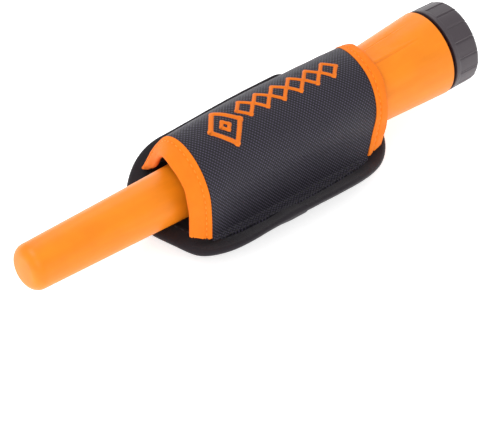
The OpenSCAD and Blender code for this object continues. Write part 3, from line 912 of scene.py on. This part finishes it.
# Each line runs from its near foot over the crown to its far foot, in whole or half millimetres
FRONT_ARCH = [
    (84, -24, 3), (84, -23, 14), (84, -20.5, 26), (84, -12.5, 36), (84, -2, 40), (84, 8, 37.5),
    (85, 17, 25), (86, 22.5, 14), (88, 28.5, 2.5),
]
REAR_ARCH = [
    (173, -22, 1.5), (177.5, -19, 10), (179.5, -18.5, 20), (180.5, -15.5, 28), (181.5, -9, 34),
    (182.5, 1, 36.5), (184.5, 13, 33), (186.5, 19, 25), (186.5, 20, 15), (184, 21, 1.5),
]
TIP_EDGE = [
    (77, -19.5, 4), (77, -18.5, 14), (77, -16, 24.5), (77, -11, 30.5), (77, -1.5, 35), (79, 5.5, 32.5),
    (82, 12, 24.5), (84.5, 17, 15.5), (87, 25, 5),
]
REAR_EDGE = [
    (183, -19, 1.5), (185.5, -18.5, 10), (185.5, -18.5, 19.5), (186, -16, 27), (187, -11, 33),
    (187.5, -2.5, 36.5), (189, 8, 35), (190.5, 15.5, 30), (191, 19, 22), (190, 19.5, 12), (188, 19.5, 1.5),
]
CLOTH_T, TAPE_T = 1.1, 0.7
ARCH_STEPS, FLANGE_STEPS, SLEEVE_STEPS = 130, 14, 120
CROWN = 1.9
FLANGE_MIDDLE, FLANGE_ENDS = 28.4, 1.2


def flange(foot, side, end_y):
    """Points from the arch's foot out along the panel, with a soft fillet at the foot."""
    x, y, z = foot
    points = []
    reach = max(0.8, abs(end_y) - abs(y))
    for t in np.linspace(0, 1, FLANGE_STEPS + 1)[1:]:
        py = y + side * reach * t
        rest = PANEL_TOP + 0.9 + cup(x, py)
        drop = exp(-t * reach / 1.6)
        points.append((x, py, rest + (z - rest) * drop))
    return points


def flange_end(u, foot):
    """How far from the middle the sleeve's cut edge lies, at u along the sleeve: a shallow curve."""
    start = abs(foot[1]) + FLANGE_ENDS
    return start + (FLANGE_MIDDLE - start) * max(0.0, sin(pi * u)) ** 0.7


def sleeve_grid():
    """Mid-surface of the sleeve cloth: rows across it from the near flange to the far one."""
    front = curve_through(FRONT_ARCH, ARCH_STEPS)
    rear = curve_through(REAR_ARCH, ARCH_STEPS)
    columns = []
    for u in np.linspace(0, 1, SLEEVE_STEPS):
        arch = front * (1 - u) + rear * u
        belly = sin(pi * u)
        shaped = []
        for x, y, z in arch:
            side = 1 if y > 0 else -1
            low = exp(-((z - 11) / 9) ** 2)
            y -= side * 0.7 * belly * low
            r = body_r(x)
            turn = degrees(atan2(z - r, y))
            crown = CROWN * belly**0.5 * exp(-(((turn - 68) / 38) ** 2))
            ripple = crown + 0.28 * lumps(x, y, z, 16, 1) + 0.12 * lumps(x, y, z, 6, 4)
            away = Vector((y, z - r)).normalized()
            y, z = y + away.x * ripple, z + away.y * ripple
            shaped.append(clear_of_body((x, y, z), CLOTH_T / 2 + 0.35))
        near_end = flange_end(u, shaped[0])
        far_end = flange_end(u, shaped[-1])
        near = flange(shaped[0], -1, near_end)[::-1]
        far = flange(shaped[-1], 1, far_end)
        columns.append(near + shaped + far)
    return np.array(columns).transpose(1, 0, 2)


SLEEVE = sleeve_grid()
SLEEVE_N = normals_of(SLEEVE, (134, 0, 12))
TOP_ROW = FLANGE_STEPS + int(np.argmax(SLEEVE[FLANGE_STEPS:-FLANGE_STEPS, SLEEVE_STEPS // 2, 2]))


def holster_sleeve():
    """Cloth arched over the probe, with two rows of stitches through each flange."""
    made = sheet_grid("cloth_sleeve", SLEEVE, CLOTH_T, sleeve_look, "holster")
    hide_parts("holster_sleeve")
    middle = SLEEVE[:, SLEEVE_STEPS // 2]
    width = run_of(middle)[-1]
    rows = []
    for near, lift in ((FLANGE_STEPS - 2, 0), (3, 0.05)):
        for row in (near, len(SLEEVE) - 1 - near):
            normals = SLEEVE_N[row][2:-2]
            rows.append((SLEEVE[row][2:-2] + normals * (CLOTH_T / 2 + lift), normals))
    stitches("sleeve_stitches", rows, black_thread, "holster", radius=0.3)


def folded_tape(name, node, arch, edge, half, nose, stitch_at):
    """Tape folded over one end of the sleeve, from its inner leg round the free edge to its outer leg."""
    count = ARCH_STEPS + 10
    gap = half + TAPE_T / 2 + 0.2
    lines = [curve_through(line, count) for line in (arch, edge)]
    a, b = (np.array([clear_of_body(tuple(p), gap) for p in line]) for line in lines)
    ts = np.linspace(0, 1, 15)
    centre = np.array([[pa * (1 - t) + pb * t for t in ts] for pa, pb in zip(a, b)])
    n = normals_of(centre, (float(a[:, 0].mean()), 0, 10))
    ahead = b - a
    ahead /= norm(ahead, axis=1, keepdims=True)
    rows = []
    for i in range(count):
        row = []
        wave = 0.42 * lumps(*b[i], 7, 6)
        for t, c, m in zip(ts, centre[i], n[i]):
            row.append(c - m * half * (0.9 + 0.1 * t))
        for turn in np.linspace(0, pi, 9)[1:-1]:
            out = -cos(turn) * (half + nose * sin(turn) * 0.3)
            reach = sin(turn) * (half + nose)
            row.append(b[i] + n[i][-1] * out + ahead[i] * (reach + wave))
        for t, c, m in reversed(list(zip(ts, centre[i], n[i]))):
            puff = nose * sin(pi * min(1.0, t * 1.05)) ** 0.7
            seam = 0.52 * exp(-(((t - stitch_at) / 0.07) ** 2))
            ripple = 0.2 * lumps(*c, 4, 8)
            row.append(c + m * (half + puff - seam + ripple) + ahead[i] * wave * t)
        rows.append(row)
    grid = np.array(rows)
    for end, inner in ((0, 1), (-1, -2)):
        for j in range(grid.shape[1]):
            away = grid[end, j] - grid[inner, j]
            away /= norm(away)
            ragged = 0.9 * lumps(j * 0.9, end * 5.0, 1, 1.3, 2) + 0.3 * (j % 2)
            grid[end, j] += away * ragged
            x, y, z = grid[end, j]
            grid[end, j, 2] = max(z, PANEL_TOP + 0.9 + cup(x, y))
    across = np.tile(np.arange(grid.shape[1]) * 0.9, (count, 1))
    run = run_of(a)
    made = sheet_grid(name, grid, TAPE_T, tape_look, "holster", across=across,
                      along=np.tile(run[:, None], (1, grid.shape[1])))
    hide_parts(node)
    width = float(norm(np.diff(grid, axis=1), axis=2).sum(axis=1).mean())
    k = int(round(stitch_at * (len(ts) - 1)))
    column = grid.shape[1] - 1 - k
    path = grid[1:-1, column] + n[1:-1, k] * (TAPE_T / 2)
    stitches(name + "_stitches", [(path, n[1:-1, k])], orange_thread, "holster",
             length=2.1, gap=0.8, radius=0.24)


# ---- embroidery


def on_sleeve(x, s):
    """Point and normal on the sleeve at x, s millimetres of cloth from its top towards the near side."""
    column = int(np.clip(np.searchsorted(SLEEVE[TOP_ROW, :, 0], x), 1, SLEEVE_STEPS - 1))
    rows = np.arange(TOP_ROW + 29, TOP_ROW - 61, -1)

    def place(col):
        run = run_of(SLEEVE[rows, col])
        run -= run[29]
        return along_run(s, run, SLEEVE[rows, col]), along_run(s, run, SLEEVE_N[rows, col])

    (p0, n0), (p1, n1) = place(column - 1), place(column)
    t = float(np.clip((x - p0[0]) / max(p1[0] - p0[0], 1e-6), 0, 1))
    normal = n0 * (1 - t) + n1 * t
    return p0 * (1 - t) + p1 * t, normal / norm(normal)


def satin(points, faces, cloth, corners, width, crown):
    """Adds one closed satin-stitched outline through the corners (x, s), width wide and raised by crown."""
    ring = [np.array(c, float) for c in corners]
    n = len(ring)
    path = []
    for k in range(n):
        a, b = ring[k], ring[(k + 1) % n]
        steps = max(4, int(norm(b - a) / 0.4))
        path += [a + (b - a) * i / steps for i in range(steps)]
    count = len(path)
    start = len(points)
    spread = np.linspace(-1, 1, 9)
    middle = sum(ring) / n
    run = 0.0
    for k in range(count):
        ahead = path[(k + 1) % count] - path[k - 1]
        ahead /= norm(ahead)
        side = np.array([-ahead[1], ahead[0]])
        if np.dot(side, path[k] - middle) < 0:
            side = -side
        corner = min(norm(path[k] - c) for c in ring)
        stretch = 1 + 0.38 * max(0.0, 1 - corner / (width * 0.6))
        jitter = random.uniform(-0.06, 0.06)
        for w in spread:
            x, s = path[k] + side * (w * width / 2 * stretch + jitter)
            p, normal = on_sleeve(x, s)
            rise = CLOTH_T / 2 - 0.15 + (crown + 0.15) * (1 - abs(w) ** 2.6)
            rise += 0.05 * (k % 2) * (1 - abs(w))
            points.append(at(*(p + normal * rise)))
            cloth.append((w * width / 2, run))
        run += norm(path[(k + 1) % count] - path[k])
    faces += [tuple(start + i for i in f) for f in grid_faces(count, len(spread), close_rows=True)]


def diamond(x, s, length, height):
    """Corners (x, s) of a diamond centred at (x, s)."""
    return [(x - length / 2, s), (x, s - height / 2), (x + length / 2, s), (x, s + height / 2)]


def embroidery():
    """A large double diamond and a chain of six small ones, in orange satin stitch."""
    points, faces, cloth = [], [], []
    satin(points, faces, cloth, diamond(106.2, 4.8, 16.5, 19), 2.5, 0.6)
    satin(points, faces, cloth, diamond(106.2, 4.8, 4.4, 5.0), 1.9, 0.6)
    for k in range(6):
        satin(points, faces, cloth, diamond(120.2 + 9.4 * k, 0.8, 9.0, 9.2), 2.0, 0.5)
    piece("diamond_embroidery", points, faces, satin_look, "holster", cloth, sharp=70)


# ---- belt loop


def belt_loop():
    """Webbing loop under the panel, sewn down at both ends."""
    low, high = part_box("belt_loop")
    x0, x1 = (low.x - TIP.x) / MM, (high.x - TIP.x) / MM
    bottom = (low.z - TIP.z) / MM
    half_w, thick, tab, slope = high.y / MM, 1.6, 10.0, 5.0
    tab_z, strap_z = PANEL_BOTTOM - thick / 2, bottom + thick / 2
    path = [(x0, tab_z), (x0 + 4, tab_z), (x0 + tab - 1, tab_z), (x0 + tab + 0.6, tab_z - 0.3),
            (x0 + tab + slope - 0.8, strap_z + 0.4), (x0 + tab + slope + 1.2, strap_z)]
    path += [(x, strap_z) for x in np.linspace(x0 + 24, x1 - 24, 7)]
    path += [(x0 + x1 - x, z) for x, z in reversed(path[:6])]
    line = curve_through([(x, 0, z) for x, z in path], 150)
    ys = np.linspace(-half_w, half_w, 25)
    grid = np.array([[(x, y, max(z, strap_z)) for x, _, z in line] for y in ys])
    made = sheet_grid("belt_webbing", grid, thick - 0.02, webbing_look, "holster")
    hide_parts("belt_loop")
    length = run_of(line)[-1]
    rows = []
    for start in (x0 + 1.2, x1 - 9.2):
        w, z = half_w - 2, PANEL_BOTTOM - thick - 0.02
        corners = [(x, y, z) for x in (start, start + 8) for y in (-w, w)]
        for p, q in ((0, 1), (2, 3), (0, 2), (1, 3), (0, 3), (1, 2)):
            rows.append((np.linspace(corners[p], corners[q], 30), [(0, 0, -1)] * 30))
    stitches("webbing_stitches", rows, black_thread, "holster", length=2.2, gap=0.7, lift=0.0)


# ---- stage


FLOOR_HALF, FLOOR_GLOW = 3.0, 0.62
LENS, SENSOR = 377.0, 36
HEADING, DIP, ROLL = (radians(turn) for turn in (41.407, 42.895, 3.826))
AIM, AWAY = Vector((-0.02255, -0.02245, 0.0176)), 2.17978


def stage_floor():
    look = Look("pale_floor", (0.9, 0.9, 0.9), 0.6)
    look.color(look.mix(look.noise(30), (0.89, 0.89, 0.89), (0.91, 0.91, 0.91)))
    look.set("Emission Color", (1, 1, 1, 1))
    look.set("Emission Strength", FLOOR_GLOW)
    mesh = bpy.data.meshes.new("studio_floor")
    corners = [(x * FLOOR_HALF, y * FLOOR_HALF, 0) for x, y in ((-1, -1), (1, -1), (1, 1), (-1, 1))]
    mesh.from_pydata(corners, [], [(0, 1, 2, 3)])
    mesh.materials.append(look.material)
    floor = put("studio_floor", mesh)


def area_light(name, place, size, watts):
    """Rectangular light that faces the origin."""
    data = bpy.data.lights.new(name, "AREA")
    data.shape = "RECTANGLE"
    data.size, data.size_y = size
    data.energy = watts
    lamp = put(name, data)
    lamp.location = place
    lamp.rotation_euler = (-Vector(place)).to_track_quat("-Z", "Y").to_euler()


def camera():
    """Long lens that looks down at AIM from AWAY metres, turned by HEADING and rolled a little."""
    sky = Vector((0, 0, 1))
    level = Vector((sin(HEADING), cos(HEADING), 0))
    right = Vector((cos(HEADING), -sin(HEADING), 0))
    forward = cos(DIP) * level - sin(DIP) * sky
    up = sin(DIP) * level + cos(DIP) * sky
    across = cos(ROLL) * right + sin(ROLL) * up
    upright = cos(ROLL) * up - sin(ROLL) * right
    data = bpy.data.cameras.new("camera")
    data.lens, data.sensor_width = LENS, SENSOR
    made = put("camera", data)
    turn = Matrix((across, upright, -forward)).transposed().to_4x4()
    made.matrix_world = Matrix.Translation(AIM - forward * AWAY) @ turn
    bpy.context.scene.camera = made


def studio():
    scene = bpy.context.scene
    world = bpy.data.worlds.new("studio")
    world.use_nodes = True
    sky = world.node_tree.nodes["Background"]
    sky.inputs["Color"].default_value = (1, 1, 1, 1)
    sky.inputs["Strength"].default_value = 0.8
    scene.world = world
    scene.view_settings.view_transform = "Standard"
    area_light("key", (-0.5, 0.5, 1.3), (0.9, 0.6), 7.5)
    area_light("fill", (-0.9, -0.7, 0.9), (0.8, 0.8), 3.5)
    area_light("rim", (0.6, 0.9, 0.8), (0.6, 0.6), 1.5)
    area_light("strip", (0.62, -1.08, 0.36), (1.0, 0.22), 1.0)
    stage_floor()
    camera()


paint_nodes()
probe_shell()
push_button()
battery_cap()
o_ring()
foam_pad()
back_panel()
edge_binding()
holster_sleeve()
folded_tape("tip_end_tape", "tip_tape", FRONT_ARCH, TIP_EDGE, 0.85, 0.45, 0.28)
folded_tape("rear_end_tape", "rear_tape", REAR_ARCH, REAR_EDGE, 0.6, 0.15, 0.42)
embroidery()
belt_loop()
studio()
